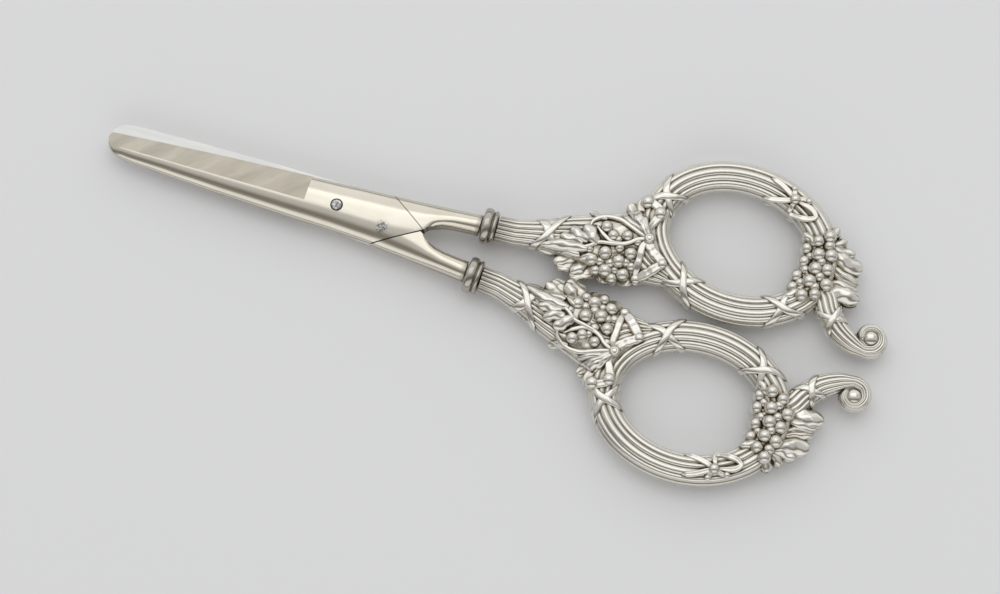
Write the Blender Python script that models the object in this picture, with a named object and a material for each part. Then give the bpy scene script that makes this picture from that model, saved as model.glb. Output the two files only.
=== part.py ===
"""Grape shears: two lapped steel halves on one rivet, each with a hollow silver handle.

The origin is on the pivot, in the plane of the rivet's flat back end.
+X runs from the pivot to the handles, +Y to the upper handle, +Z out of the front.
The steel halves meet at the parting plane, and the shears are modelled closed.
"""
import math

import bmesh
import bpy
import numpy as np
from mathutils import Matrix

# Fits
gap = 0.0003
half_gap = 0.5 * gap
blade_play = 0.0001
rivet_play = 0.00008
overrun = 0.002

# Steel halves
blade_reach = 0.0542
plate_half_width = 0.00585
blade_thickness = 0.00245
edge_thickness = 0.00015
lap_reach = 0.0198
lap_angle = math.radians(30.6)
crotch_reach = 0.0206
tang_half_width = 0.0012
tang_half_height = 0.001

# Pivot rivet
rivet_radius = 0.00095
rivet_head_radius = 0.00138
rivet_head_depth = 0.0006

# Collars
collar_x = 0.034
collar_y = 0.0059
collar_length = 0.0033
collar_half_width = 0.00405
collar_half_height = 0.0036
collar_tilt = math.radians(2.5)

# Handle shells
wall = 0.00055
filling_gap = 0.0005
stem_root_half_width = 0.0085
stem_half_height = 0.0026
ring_x = 0.08866
ring_y = 0.0189
ring_half_length = 0.0195
ring_half_breadth = 0.01485
ring_tilt = math.radians(-4.0)
ring_half_width = 0.0035
ring_half_height = 0.0029
tail_half_width = 0.00265
tail_half_height = 0.0025
tail_run = 0.01444
scroll_y = 0.0071
scroll_radius = 0.0042
scroll_half_height = 0.0027
scroll_round = 0.0012

# Applied castings
leaf_length = 0.0125
leaf_width = 0.0098
leaf_thickness = 0.0009
bunch_length = 0.0115
bunch_width = 0.0125
grape_radius = 0.00125
pad_thickness = 0.0005
bow_size = 0.0105
bow_band = 0.001
small_bow_size = 0.0052
small_bow_band = 0.00055
cluster_length = 0.0152
cluster_width = 0.0075
end_leaf_length = 0.0062
end_leaf_width = 0.0112
end_leaf_half_height = 0.0017

# Places on the stem are shares of its run and of its rise to the ring's middle.
leaf_place_share = (0.303, 0.10)
bunch_place_share = (0.490, 0.162)
bow_place_share = (0.621, 0.615)

# Places on the ring are an angle about its middle and a share of its half width outwards.
small_bow_angle = math.radians(65.0)
small_bow_out_share = 0.36
cluster_angle = math.radians(3.0)
cluster_out_share = -0.54
end_leaf_angle = math.radians(4.0)
end_leaf_out_share = 1.05

# Shapes come as shares of their casting's size. A lobe has its place along and across,
# half length, half width and turn in degrees; a loop has its reach along and across,
# length and half breadth.
leaf_outline_shares = (
    (-0.448, -0.122), (-0.272, 0.112), (-0.072, 0.112), (0.008, 0.367), (0.184, 0.408), (0.216, 0.51),
    (0.44, 0.439), (0.512, 0.327), (0.392, 0.204), (0.392, -0.041), (0.432, -0.265), (0.328, -0.459),
    (0.176, -0.48), (0.12, -0.357), (0.008, -0.48), (-0.136, -0.408), (-0.136, -0.296), (-0.312, -0.276),
)
end_leaf_lobe_shares = (
    (0.10, 0.28, 0.52, 0.17, 12.0),
    (0.12, 0.02, 0.42, 0.15, -5.0),
    (0.16, -0.28, 0.62, 0.17, -2.0),
)
bow_loop_shares = ((-0.46, 0.60, 0.78, 0.17), (-0.12, 0.72, 0.90, 0.12), (0.20, -0.47, 0.96, 0.15))
small_bow_loop_shares = ((0.90, -0.50, 1.05, 0.20), (0.70, 0.20, 0.72, 0.16))

# Grape places are shares of the bunch's length and width, from its middle.
bunch_grape_shares = (
    (-0.35, -0.14), (-0.12, 0.04), (-0.10, -0.28), (0.14, -0.04), (0.32, -0.22), (0.32, 0.14),
    (-0.23, 0.44), (-0.03, 0.32), (0.24, 0.42),
)
cluster_grape_shares = (
    (-0.44, -0.34), (-0.40, -0.12), (-0.42, 0.12), (-0.38, 0.34), (0.00, -0.45), (-0.04, -0.20),
    (0.04, -0.02), (0.02, 0.20), (-0.02, 0.40), (0.36, -0.38), (0.42, -0.18), (0.40, 0.04),
    (0.34, 0.24), (0.14, 0.48),
)

# Outlines are shares: along the blade or shank, then across the plate or stem.
blade_edge_shares = (
    (0.0, 0.812), (0.131, 0.735), (0.135, 0.838), (0.262, 0.769), (0.375, 0.701), (0.487, 0.632),
    (0.637, 0.513), (0.843, 0.342), (0.993, 0.188), (1.0, 0.03),
)
blade_spine_shares = (
    (0.0, 0.974), (0.187, 0.940), (0.468, 0.889), (0.655, 0.855), (0.880, 0.769), (0.936, 0.667),
    (0.964, 0.513), (0.983, 0.342), (1.0, 0.12),
)
blade_ridge_shares = ((0.0, 0.17), (0.375, 0.24), (0.655, 0.29), (1.0, 0.33))
blade_depth_shares = ((0.0, 1.0), (0.15, 1.0), (0.75, 0.78), (0.94, 0.62), (1.0, 0.42))
facet_start_share = 0.135
blade_station_shares = (
    1.0, 0.993, 0.983, 0.964, 0.936, 0.88, 0.76, 0.637, 0.487, 0.375, 0.262, facet_start_share, 0.128,
)
shank_outer_shares = (
    (0.0, 0.812), (0.125, 0.889), (0.344, 1.0), (0.5, 1.094), (0.625, 1.171), (0.75, 1.24),
    (0.875, 1.30), (1.0, 1.36),
)
shank_inner_shares = (
    (0.0, -0.974), (0.3125, -1.0), (0.66, 0.10), (0.69, 0.256), (0.75, 0.393), (0.8125, 0.444),
    (0.9375, 0.50), (1.0, 0.53),
)
shank_station_shares = (0.0, 0.125, 0.22, 0.295, 0.344, 0.5, 0.69, 0.75, 0.8125, 0.9375, 1.0)
stem_shares = (
    (0.0, 0.012, 0.335), (0.078, 0.038, 0.347), (0.154, 0.112, 0.382), (0.229, 0.185, 0.471),
    (0.305, 0.254, 0.588), (0.381, 0.308, 0.694), (0.457, 0.354, 0.788), (0.533, 0.408, 0.882),
    (0.608, 0.5, 1.0), (0.656, 0.315, 0.729), (0.703, 0.185, 0.494), (0.751, 0.085, 0.294),
)
tang_station_shares = (0.0, 0.08, 0.23, 0.46)
tail_shares = (
    (-0.10, 0.72, 0.8), (0.10, 0.55, 1.0), (0.26, 0.23, 1.0), (0.48, -0.02, 1.0), (0.76, -0.13, 0.9),
    (0.98, -0.13, 0.72),
)
collar_shares = (
    (0.0, 0.80), (0.10, 0.96), (0.22, 1.0), (0.40, 0.98), (0.56, 0.86), (0.68, 0.95), (0.88, 0.95), (1.0, 0.80),
)

bar_sides = 16
bar_squareness = 2.4
shell_sides = 10
filling_sides = 8
shell_squareness = 2.5
ring_steps = 26
loop_steps = 8
loop_sides = 6
collar_sides = 18
rivet_sides = 32
lobe_segments = 10
lobe_rings = 6
grape_segments = 6
grape_rings = 5

weld_distance = 0.000002
smooth_angle = math.radians(40.0)

shank_run = collar_x - 0.5 * collar_length - gap
stem_start = collar_x + 0.5 * collar_length + gap
stem_run = ring_x - stem_start
ring_end = ring_x + ring_half_length
scroll_x = ring_end + tail_run
neck_run = ring_y - collar_y


for old in list(bpy.data.objects):
    bpy.data.objects.remove(old, do_unlink=True)

shears = bpy.data.collections.new("grape_shears")
cutters = bpy.data.collections.new("cutters")
bpy.context.scene.collection.children.link(shears)
bpy.context.scene.collection.children.link(cutters)


def make_material(name, colour, roughness, metallic):
    material = bpy.data.materials.new(name)
    material.use_nodes = True
    shader = material.node_tree.nodes["Principled BSDF"]
    shader.inputs["Base Color"].default_value = (*colour, 1.0)
    shader.inputs["Roughness"].default_value = roughness
    shader.inputs["Metallic"].default_value = metallic
    return material


gilt_steel = make_material("gilt_steel", (0.72, 0.66, 0.52), 0.18, 1.0)
bare_steel = make_material("bare_steel", (0.45, 0.45, 0.44), 0.35, 1.0)
silver = make_material("silver", (0.70, 0.67, 0.60), 0.28, 1.0)
pitch = make_material("pitch", (0.05, 0.04, 0.03), 0.8, 0.0)


def follow(shares, place):
    """Value of a table of shares at a place along it."""
    rows = np.array(shares)
    return float(np.interp(place, rows[:, 0], rows[:, 1]))


def new_piece(name, bm, collection):
    """Make an object from a bmesh whose faces are turned outwards."""
    bmesh.ops.recalc_face_normals(bm, faces=bm.faces)
    mesh = bpy.data.meshes.new(name)
    bm.to_mesh(mesh)
    bm.free()
    piece = bpy.data.objects.new(name, mesh)
    collection.objects.link(piece)
    if collection is cutters:
        piece.hide_render = True
        piece.display_type = 'WIRE'
    return piece


def combine(piece, tool, operation):
    """Apply a Boolean of the tool to the piece."""
    modifier = piece.modifiers.new(operation.lower(), 'BOOLEAN')
    modifier.operation = operation
    modifier.object = tool
    modifier.solver = 'EXACT'
    modifier.use_self = operation == 'UNION'
    graph = bpy.context.evaluated_depsgraph_get()
    shape = bpy.data.meshes.new_from_object(piece.evaluated_get(graph))
    piece.modifiers.clear()
    piece.data = shape


def finish(piece, name, material):
    """Name a finished piece, clean its mesh, give it its material and lift it to the parting plane."""
    bm = bmesh.new()
    bm.from_mesh(piece.data)
    bmesh.ops.remove_doubles(bm, verts=bm.verts, dist=weld_distance)
    bmesh.ops.dissolve_degenerate(bm, dist=weld_distance, edges=bm.edges)
    bmesh.ops.triangulate(bm, faces=bm.faces)
    bm.to_mesh(piece.data)
    bm.free()
    piece.name = name
    piece.data.materials.clear()
    piece.data.materials.append(material)
    piece.data.shade_smooth()
    piece.data.set_sharp_from_angle(angle=smooth_angle)
    piece.location.z = blade_thickness
    if piece.name not in shears.objects:
        shears.objects.link(piece)
        cutters.objects.unlink(piece)
    piece.hide_render = False
    piece.display_type = 'TEXTURED'
    return piece


def turned_copy(piece, name, scale):
    """Copy a piece with its mesh mirrored or turned by a scale of ones and minus ones."""
    bm = bmesh.new()
    bm.from_mesh(piece.data)
    bmesh.ops.transform(bm, matrix=Matrix.Diagonal((*scale, 1.0)), verts=bm.verts)
    return new_piece(name, bm, cutters)


def oval(half_width, half_height, squareness, sides):
    """Points of a squared oval whose flat sides face across."""
    points = []
    for step in range(sides):
        angle = math.tau * (step + 0.5) / sides
        across = math.copysign(abs(math.cos(angle)) ** (2.0 / squareness), math.cos(angle))
        up = math.copysign(abs(math.sin(angle)) ** (2.0 / squareness), math.sin(angle))
        points.append((across, up))
    widest = max(across for across, up in points)
    highest = max(up for across, up in points)
    return [(half_width * across / widest, half_height * up / highest) for across, up in points]


def bridge_rings(rings, closed):
    """Loft from ring to ring; an open loft gets flat caps."""
    bm = bmesh.new()
    rows = [[bm.verts.new(point) for point in ring] for ring in rings]
    spans = len(rows) if closed else len(rows) - 1
    sides = len(rows[0])
    for row in range(spans):
        here, there = rows[row], rows[(row + 1) % len(rows)]
        for side in range(sides):
            after = (side + 1) % sides
            bm.faces.new((here[side], here[after], there[after], there[side]))
    if not closed:
        bm.faces.new(rows[0])
        bm.faces.new(rows[-1])
    return bm


def sweep(path, sizes, squareness, sides, closed=False, across=None):
    """Squared ovals of the given half widths and heights, square to a path (x, y, z)."""
    route = np.array(path)
    if closed:
        ahead = np.roll(route, -1, axis=0) - np.roll(route, 1, axis=0)
    else:
        ahead = np.gradient(route, axis=0)
    rings = []
    for (x, y, z), (run, rise, _), (half_width, half_height) in zip(route, ahead, sizes):
        length = math.hypot(run, rise)
        side_x, side_y = across or (-rise / length, run / length)
        rings.append([(x + side_x * side, y + side_y * side, z + up)
                      for side, up in oval(half_width, half_height, squareness, sides)])
    return bridge_rings(rings, closed)


def prism(name, outline, low, high):
    """Upright block on a plan outline."""
    bm = bmesh.new()
    base = bm.faces.new([bm.verts.new((x, y, low)) for x, y in outline])
    raised = bmesh.ops.extrude_face_region(bm, geom=[base])["geom"]
    top = [item for item in raised if isinstance(item, bmesh.types.BMVert)]
    bmesh.ops.translate(bm, vec=(0.0, 0.0, high - low), verts=top)
    return new_piece(name, bm, cutters)


def lobe(centre, sizes, turn, segments, rings):
    """Ellipsoid with its own half sizes, turned about the upright."""
    bm = bmesh.new()
    bmesh.ops.create_uvsphere(bm, u_segments=segments, v_segments=rings, radius=1.0)
    matrix = Matrix.Translation(centre) @ Matrix.Rotation(turn, 4, 'Z') @ Matrix.Diagonal((*sizes, 1.0))
    bmesh.ops.transform(bm, matrix=matrix, verts=bm.verts)
    return new_piece("lobe", bm, cutters)


def merge(pieces):
    """Union of overlapping pieces, kept in the first."""
    whole = pieces[0]
    for other in pieces[1:]:
        combine(whole, other, 'UNION')
        bpy.data.objects.remove(other, do_unlink=True)
    return whole


# Steel halves


def tang_stations(grow):
    """Path and half sizes of the tang along the middle of the stem."""
    path, sizes = [], []
    for share in tang_station_shares:
        along = shank_run + share * stem_run if share == 0.0 else stem_start + share * stem_run
        rise = follow([row[:2] for row in stem_shares], share)
        taper = 1.0 - 0.8 * share
        path.append((along, collar_y + rise * neck_run, 0.0))
        sizes.append((tang_half_width * taper + grow, tang_half_height * taper + grow))
    return path, sizes


def bar_rings():
    """Sections of one steel half before its lap is cut: blade, plate, shank and tang."""
    rings = []

    def add(along, low, high, depth):
        middle, half = 0.5 * (low + high), 0.5 * (high - low)
        rings.append([(along, middle + side, up) for side, up in oval(half, depth, bar_squareness, bar_sides)])

    for share in blade_station_shares:
        high = follow(blade_edge_shares, share) * plate_half_width
        low = -follow(blade_spine_shares, share) * plate_half_width
        add(-share * blade_reach, low, high, follow(blade_depth_shares, share) * blade_thickness)
    shank_stations = [share * shank_run for share in shank_station_shares]
    for along in sorted(shank_stations + [crotch_reach]):
        high = follow(shank_outer_shares, along / shank_run) * plate_half_width
        low = follow(shank_inner_shares, along / shank_run) * plate_half_width
        reach = min(along, crotch_reach)
        low = max(low, (reach - lap_reach) * math.tan(lap_angle) + half_gap / math.cos(lap_angle))
        add(along, low, high, blade_thickness)
    path, sizes = tang_stations(0.0)
    for (along, middle, _), (half_width, half_height) in zip(path, sizes):
        rings.append([(along, middle + side, up)
                      for side, up in oval(half_width, half_height, bar_squareness, bar_sides)])
    return rings


def facet_cutter():
    """Wedge above the ground facet, from the ridge down to the cutting edge."""
    rings = []
    ceiling = blade_thickness + overrun
    for share in (facet_start_share, 0.375, 0.655, 0.936, 1.0 + overrun / blade_reach):
        ridge = -follow(blade_ridge_shares, share) * plate_half_width
        edge = follow(blade_edge_shares[2:], share) * plate_half_width
        depth = follow(blade_depth_shares, share) * blade_thickness
        fall = (depth - edge_thickness) / (edge - ridge)
        outside = edge + overrun
        bottom = edge_thickness - fall * overrun
        along = -share * blade_reach
        rings.append([(along, ridge, depth), (along, outside, bottom), (along, outside, ceiling),
                      (along, ridge, ceiling)])
    return new_piece("facet_cutter", bridge_rings(rings, False), cutters)


def lap_cutter():
    """Block behind the front plate, up to the slanting shoulder of this half."""
    half_span = 2.0 * plate_half_width
    slant = half_span / math.tan(lap_angle)
    shoulder = lap_reach + half_gap / math.sin(lap_angle)
    outline = ((-blade_reach - overrun, half_span), (shoulder - slant, half_span),
               (shoulder + slant, -half_span), (-blade_reach - overrun, -half_span))
    return prism("lap_cutter", outline, -blade_thickness - overrun, 0.5 * blade_play)


def rivet_profile(grow, length):
    """Half profile of the rivet: flush countersunk head, shaft, flush peened end."""
    neck = length - rivet_head_depth
    return ((rivet_head_radius + grow, length), (rivet_radius + grow, neck),
            (rivet_radius + grow, -neck), (rivet_head_radius + grow, -length))


def turned(name, profile):
    """Solid turned about the pivot axis from a half profile (radius, height)."""
    rings = []
    for radius, height in profile:
        rings.append([(radius * math.cos(math.tau * step / rivet_sides),
                       radius * math.sin(math.tau * step / rivet_sides), height)
                      for step in range(rivet_sides)])
    return new_piece(name, bridge_rings(rings, False), cutters)


steel_half = new_piece("steel_half", bridge_rings(bar_rings(), False), cutters)
rivet_bore = turned("rivet_bore", rivet_profile(rivet_play, blade_thickness + rivet_play))
for tool in (lap_cutter(), facet_cutter(), rivet_bore):
    combine(steel_half, tool, 'DIFFERENCE')
rear_half = turned_copy(steel_half, "rear_half", (1.0, -1.0, -1.0))
front_blade = finish(steel_half, "front_blade", gilt_steel)
rear_blade = finish(rear_half, "rear_blade", gilt_steel)
pivot_rivet = finish(turned("rivet", rivet_profile(0.0, blade_thickness)), "pivot_rivet", bare_steel)


# Hollow handles


def stem_sweep(name, grow, sides, start):
    """Stem from its collar end to where it runs into the ring."""
    path, sizes = [], []
    for row, (along, rise, width) in enumerate(stem_shares):
        reach = stem_start + along * stem_run
        path.append((start if row == 0 else reach, collar_y + rise * neck_run, 0.0))
        depth = stem_half_height + along * (ring_half_height - stem_half_height)
        sizes.append((width * stem_root_half_width + grow, depth + grow))
    return new_piece(name, sweep(path, sizes, shell_squareness, sides, across=(0.0, 1.0)), cutters)


def ring_place(angle, out):
    """Point of the finger ring's middle line, or a distance out from it."""
    along = (ring_half_length + out) * math.cos(angle)
    across = (ring_half_breadth + out) * math.sin(angle)
    return (ring_x + along * math.cos(ring_tilt) - across * math.sin(ring_tilt),
            ring_y + along * math.sin(ring_tilt) + across * math.cos(ring_tilt))


def ring_path(steps):
    """Middle line of the finger ring."""
    return [(*ring_place(math.tau * step / steps, 0.0), 0.0) for step in range(steps)]


def ring_sweep(name, grow, sides):
    path = ring_path(ring_steps)
    sizes = [(ring_half_width + grow, ring_half_height + grow)] * ring_steps
    return new_piece(name, sweep(path, sizes, shell_squareness, sides, closed=True), cutters)


def tail_sweep(name, grow, sides):
    """Stalk that leaves the ring's far end and runs into the scroll."""
    path, sizes = [], []
    for along, rise, width in tail_shares:
        path.append((ring_end + along * tail_run, scroll_y + rise * (ring_y - scroll_y), 0.0))
        sizes.append((tail_half_width * width + grow, tail_half_height + grow))
    return new_piece(name, sweep(path, sizes, shell_squareness, sides), cutters)


def scroll_disc(name, grow, sides):
    """Rounded disc that holds the scroll's turns."""
    radius, height = scroll_radius + grow, scroll_half_height + grow
    rounding = scroll_round + grow * (scroll_round / scroll_radius)
    rings = []
    for inset, level in ((rounding, -height), (0.0, rounding - height), (0.0, height - rounding),
                         (rounding, height)):
        rings.append([(scroll_x + (radius - inset) * math.cos(math.tau * step / (2 * sides)),
                       scroll_y + (radius - inset) * math.sin(math.tau * step / (2 * sides)), level)
                      for step in range(2 * sides)])
    return new_piece(name, bridge_rings(rings, False), cutters)


def handle_core(name, grow, sides, start):
    """Stem, ring, stalk and scroll as one body, grown or shrunk all round."""
    return merge([ring_sweep(name, grow, sides), stem_sweep("stem", grow, sides, start),
                  tail_sweep("tail", grow, sides), scroll_disc("scroll", grow, sides)])


half_span = ring_end
tall = scroll_radius + ring_half_width
everywhere = ((-half_span, -half_span), (2.0 * half_span, -half_span), (2.0 * half_span, half_span),
              (-half_span, half_span))

outer_core = handle_core("outer_core", 0.0, shell_sides, stem_start)
cavity = handle_core("cavity", -wall, shell_sides, stem_start - overrun)
seat_core = handle_core("seat_core", gap, shell_sides, stem_start - gap)
pad_core = handle_core("pad_core", gap + pad_thickness, shell_sides, stem_start)
leaf_core = stem_sweep("leaf_core", gap + leaf_thickness, shell_sides, stem_start)
back_space = prism("back_space", everywhere, -tall, 0.0)
combine(outer_core, cavity, 'DIFFERENCE')
combine(outer_core, back_space, 'DIFFERENCE')
upper_front_shell = outer_core

upper_filling = handle_core("filling", -wall - filling_gap, filling_sides, stem_start + gap)
tang_path, tang_sizes = tang_stations(gap)
tang_path[0] = (tang_path[0][0] - overrun, *tang_path[0][1:])
tang_path.append((tang_path[-1][0] + gap, *tang_path[-1][1:]))
tang_sizes.append(tang_sizes[-1])
tang_space = new_piece("tang_space", sweep(tang_path, tang_sizes, bar_squareness, filling_sides), cutters)
combine(upper_filling, tang_space, 'DIFFERENCE')


def collar_sweep():
    """Oval collar with a wide bead, a groove and a narrow bead, bored for the tang."""
    path, sizes = [], []
    for along, width in collar_shares:
        reach = (along - 0.5) * collar_length
        path.append((collar_x + reach * math.cos(collar_tilt), collar_y + reach * math.sin(collar_tilt), 0.0))
        sizes.append((collar_half_width * width, collar_half_height * width))
    return new_piece("collar", sweep(path, sizes, 2.0, collar_sides), cutters)


upper_collar = collar_sweep()
combine(upper_collar, tang_space, 'DIFFERENCE')


# Applied castings


def stem_place(place_share):
    """Point on the stem from shares of its run and rise."""
    return stem_start + place_share[0] * stem_run, collar_y + place_share[1] * neck_run


leaf_place = stem_place(leaf_place_share)
bunch_place = stem_place(bunch_place_share)
bow_place = stem_place(bow_place_share)
small_bow_place = ring_place(small_bow_angle, small_bow_out_share * ring_half_width)
cluster_place = ring_place(cluster_angle, cluster_out_share * ring_half_width)
end_leaf_place = ring_place(end_leaf_angle, end_leaf_out_share * ring_half_width)


def surface_height(x, y):
    """Height of the handle's front above the parting plane at a place."""
    share = (x - stem_start) / stem_run
    rise = follow([row[:2] for row in stem_shares], share)
    width = follow([(row[0], row[2]) for row in stem_shares], share) * stem_root_half_width
    offset = min(abs(y - collar_y - rise * neck_run) / width, 1.0)
    in_stem = 0.0 <= share <= stem_shares[-1][0]
    stem_top = stem_half_height * (1.0 - offset ** shell_squareness) ** (1.0 / shell_squareness) * in_stem
    line = np.array(ring_path(4 * ring_steps))[:, :2]
    distance = float(np.min(np.hypot(line[:, 0] - x, line[:, 1] - y)))
    offset = min(distance / ring_half_width, 1.0)
    ring_top = ring_half_height * (1.0 - offset ** shell_squareness) ** (1.0 / shell_squareness)
    return max(stem_top, ring_top)


def leaf_casting():
    """Vine leaf with pointed lobes that lies close on the stem."""
    outline = [(leaf_place[0] + along * leaf_length, leaf_place[1] + rise * leaf_width)
               for along, rise in leaf_outline_shares]
    leaf = prism("leaf", outline, 0.0, tall)
    combine(leaf, leaf_core, 'INTERSECT')
    return leaf


def pad_on_handle(grow, centre, half_x, half_y):
    """Even skin over the handle inside an oval outline, which carries a bunch."""
    outline = [(centre[0] + (half_x + grow) * math.cos(math.tau * step / lobe_segments),
                centre[1] + (half_y + grow) * math.sin(math.tau * step / lobe_segments))
               for step in range(lobe_segments)]
    pad = prism("pad", outline, 0.0, tall)
    combine(pad, pad_core, 'INTERSECT')
    return pad


def bunch(grow, centre, length, width, shares, swap):
    """Grapes on a thin pad; swap lays the bunch's length across the object."""
    half_x, half_y = (0.5 * width, 0.5 * length) if swap else (0.5 * length, 0.5 * width)
    pieces = [pad_on_handle(grow, centre, half_x, half_y)]
    for share_x, share_y in shares:
        x, y = centre[0] + 2.0 * share_x * half_x, centre[1] + 2.0 * share_y * half_y
        centre_of_grape = (x, y, surface_height(x, y))
        pieces.append(lobe(centre_of_grape, (grape_radius + grow,) * 3, 0.0, grape_segments, grape_rings))
    return merge(pieces)


def bow_casting(grow, centre, size, band, shares):
    """Knot and ribbon loops; each loop is a teardrop that starts and ends at the knot."""
    x, y = centre
    level = surface_height(x, y) + 0.5 * band
    knot = (1.5 * band + grow, 1.3 * band + grow, band + grow)
    pieces = [lobe((x, y, level), knot, 0.0, lobe_segments, lobe_rings)]
    for along, rise, reach, breadth in shares:
        turn = math.atan2(rise, along)
        path = []
        for step in range(loop_steps):
            angle = math.tau * step / loop_steps
            out = 0.5 * reach * (1.0 - math.cos(angle)) * size
            side = breadth * math.sin(angle) * (1.0 - 0.5 * math.cos(angle)) * size
            place_x = x + out * math.cos(turn) - side * math.sin(turn)
            place_y = y + out * math.sin(turn) + side * math.cos(turn)
            path.append((place_x, place_y, gap + max(surface_height(place_x, place_y), 0.5 * ring_half_height)))
        sizes = [(band + grow, band + grow)] * loop_steps
        pieces.append(new_piece("loop", sweep(path, sizes, 2.0, loop_sides, closed=True), cutters))
    return merge(pieces)


def end_leaf_casting():
    """Vine leaf that stands out from the ring's far end, the same on both sides."""
    pieces = []
    for along, rise, half_length, half_width, turn in end_leaf_lobe_shares:
        centre = (end_leaf_place[0] + along * end_leaf_length, end_leaf_place[1] + rise * end_leaf_width, 0.0)
        sizes = (half_length * end_leaf_length, half_width * end_leaf_width, end_leaf_half_height)
        pieces.append(lobe(centre, sizes, math.radians(turn), lobe_segments, lobe_rings))
    return merge(pieces)


front_space = prism("front_space", everywhere, -tall, half_gap)
castings = {}
castings["bow"] = bow_casting(0.0, bow_place, bow_size, bow_band, bow_loop_shares)
castings["small_bow"] = bow_casting(0.0, small_bow_place, small_bow_size, small_bow_band, small_bow_loop_shares)
castings["grapes"] = bunch(0.0, bunch_place, bunch_length, bunch_width, bunch_grape_shares, False)
castings["end_grapes"] = bunch(0.0, cluster_place, cluster_length, cluster_width, cluster_grape_shares, True)
castings["leaf"] = leaf_casting()
bow_space = bow_casting(gap, bow_place, bow_size, bow_band, bow_loop_shares)
grape_space = bunch(gap, bunch_place, bunch_length, bunch_width, bunch_grape_shares, False)
combine(castings["grapes"], bow_space, 'DIFFERENCE')
combine(castings["leaf"], grape_space, 'DIFFERENCE')
for casting in castings.values():
    combine(casting, seat_core, 'DIFFERENCE')
    combine(casting, front_space, 'DIFFERENCE')
end_leaf = end_leaf_casting()
combine(end_leaf, seat_core, 'DIFFERENCE')


# Both handles, front and back


def handed(piece, name, material):
    """Finish a piece of the upper handle and its mirror image on the lower handle."""
    lower = turned_copy(piece, f"lower_{name}", (1.0, -1.0, 1.0))
    finish(piece, f"upper_{name}", material)
    finish(lower, f"lower_{name}", material)


def handed_pair(piece, name, material):
    """The same for a piece that the back of the handle repeats."""
    back = turned_copy(piece, f"back_{name}", (1.0, 1.0, -1.0))
    handed(piece, f"front_{name}", material)
    handed(back, f"back_{name}", material)


handed(upper_collar, "collar", silver)
handed(upper_filling, "filling", pitch)
handed(end_leaf, "end_leaf", silver)
handed_pair(upper_front_shell, "shell", silver)
for name, casting in castings.items():
    handed_pair(casting, name, silver)
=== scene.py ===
import math

import bpy
import numpy as np
from mathutils import Matrix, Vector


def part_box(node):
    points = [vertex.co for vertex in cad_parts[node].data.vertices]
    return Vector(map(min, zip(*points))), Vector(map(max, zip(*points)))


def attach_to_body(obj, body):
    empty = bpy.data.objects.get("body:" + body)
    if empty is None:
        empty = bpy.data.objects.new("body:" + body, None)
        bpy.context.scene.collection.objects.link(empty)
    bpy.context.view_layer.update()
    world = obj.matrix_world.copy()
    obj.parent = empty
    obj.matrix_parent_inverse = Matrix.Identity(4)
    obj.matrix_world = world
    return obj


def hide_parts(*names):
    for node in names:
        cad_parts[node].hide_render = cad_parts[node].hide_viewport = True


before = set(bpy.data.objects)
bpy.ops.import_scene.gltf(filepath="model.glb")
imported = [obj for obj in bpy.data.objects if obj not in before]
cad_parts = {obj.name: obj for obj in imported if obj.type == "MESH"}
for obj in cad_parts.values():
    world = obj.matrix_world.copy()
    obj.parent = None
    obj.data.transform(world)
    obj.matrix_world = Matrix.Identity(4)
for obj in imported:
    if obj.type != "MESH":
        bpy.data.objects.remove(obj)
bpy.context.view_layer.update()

# Steel halves. The real piece is one forging for each half: a slim blade with a half-round
# back and a flat ground facet, a lapped plate and a round shank. Polished steel under a
# thin pale gilding. The rear half is the same forging turned over on the rivet.
MM = 0.001
parting = 0.5 * (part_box("front_blade")[0][2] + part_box("front_blade")[1][2])
blade_reach = 54.2 * MM
plate_half_width = 5.85 * MM
blade_thickness = 2.45 * MM
edge_thickness = 0.12 * MM
lap_reach = 19.8 * MM
lap_angle = math.radians(30.6)
lap_gap = 0.3 * MM
blade_play = 0.1 * MM
shank_end = 32.05 * MM
rivet_radius = 1.38 * MM
overrun = 2.0 * MM
facet_start_share = 0.135
bar_squareness = 2.04
edge_shares = (
    (0.0, 0.925), (0.134, 0.845), (0.136, 0.855), (0.262, 0.78), (0.375, 0.701), (0.487, 0.632),
    (0.637, 0.513), (0.843, 0.342), (0.97, 0.235), (0.993, 0.205), (0.998, 0.15), (1.0, 0.0),
)
spine_shares = (
    (0.0, 0.945), (0.134, 0.942), (0.187, 0.935), (0.468, 0.88), (0.655, 0.825), (0.880, 0.735),
    (0.936, 0.685), (0.960, 0.615), (0.977, 0.50), (0.989, 0.36), (0.996, 0.24), (1.0, 0.05),
)
ridge_shares = ((0.0, 0.17), (0.375, 0.24), (0.655, 0.29), (1.0, 0.33))
depth_shares = ((0.0, 1.0), (0.15, 1.0), (0.75, 0.78), (0.94, 0.62), (1.0, 0.42))
outer_shares = (
    (0.0, 0.925), (0.125, 0.985), (0.344, 1.06), (0.5, 1.125), (0.625, 1.18), (0.75, 1.24), (0.875, 1.30),
    (1.0, 1.36),
)
inner_shares = (
    (0.0, -0.945), (0.125, -0.965), (0.3125, -1.0), (0.60, -1.0), (0.635, -0.75), (0.655, -0.35),
    (0.672, 0.0), (0.69, 0.18), (0.71, 0.285), (0.75, 0.385), (0.8125, 0.455), (0.9375, 0.515),
    (1.0, 0.53),
)
crown_shares = (
    (-0.2, -0.02), (0.0, -0.01), (0.25, 0.04), (0.45, 0.16), (0.6, 0.38), (0.72, 0.64), (0.8125, 0.80),
    (1.0, 0.945),
)
crotch_points = (
    (20.45, 0.56), (20.55, 0.84), (20.85, 1.18), (21.3, 1.50), (21.9, 1.76), (22.6, 1.95), (23.4, 2.1),
)


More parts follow.
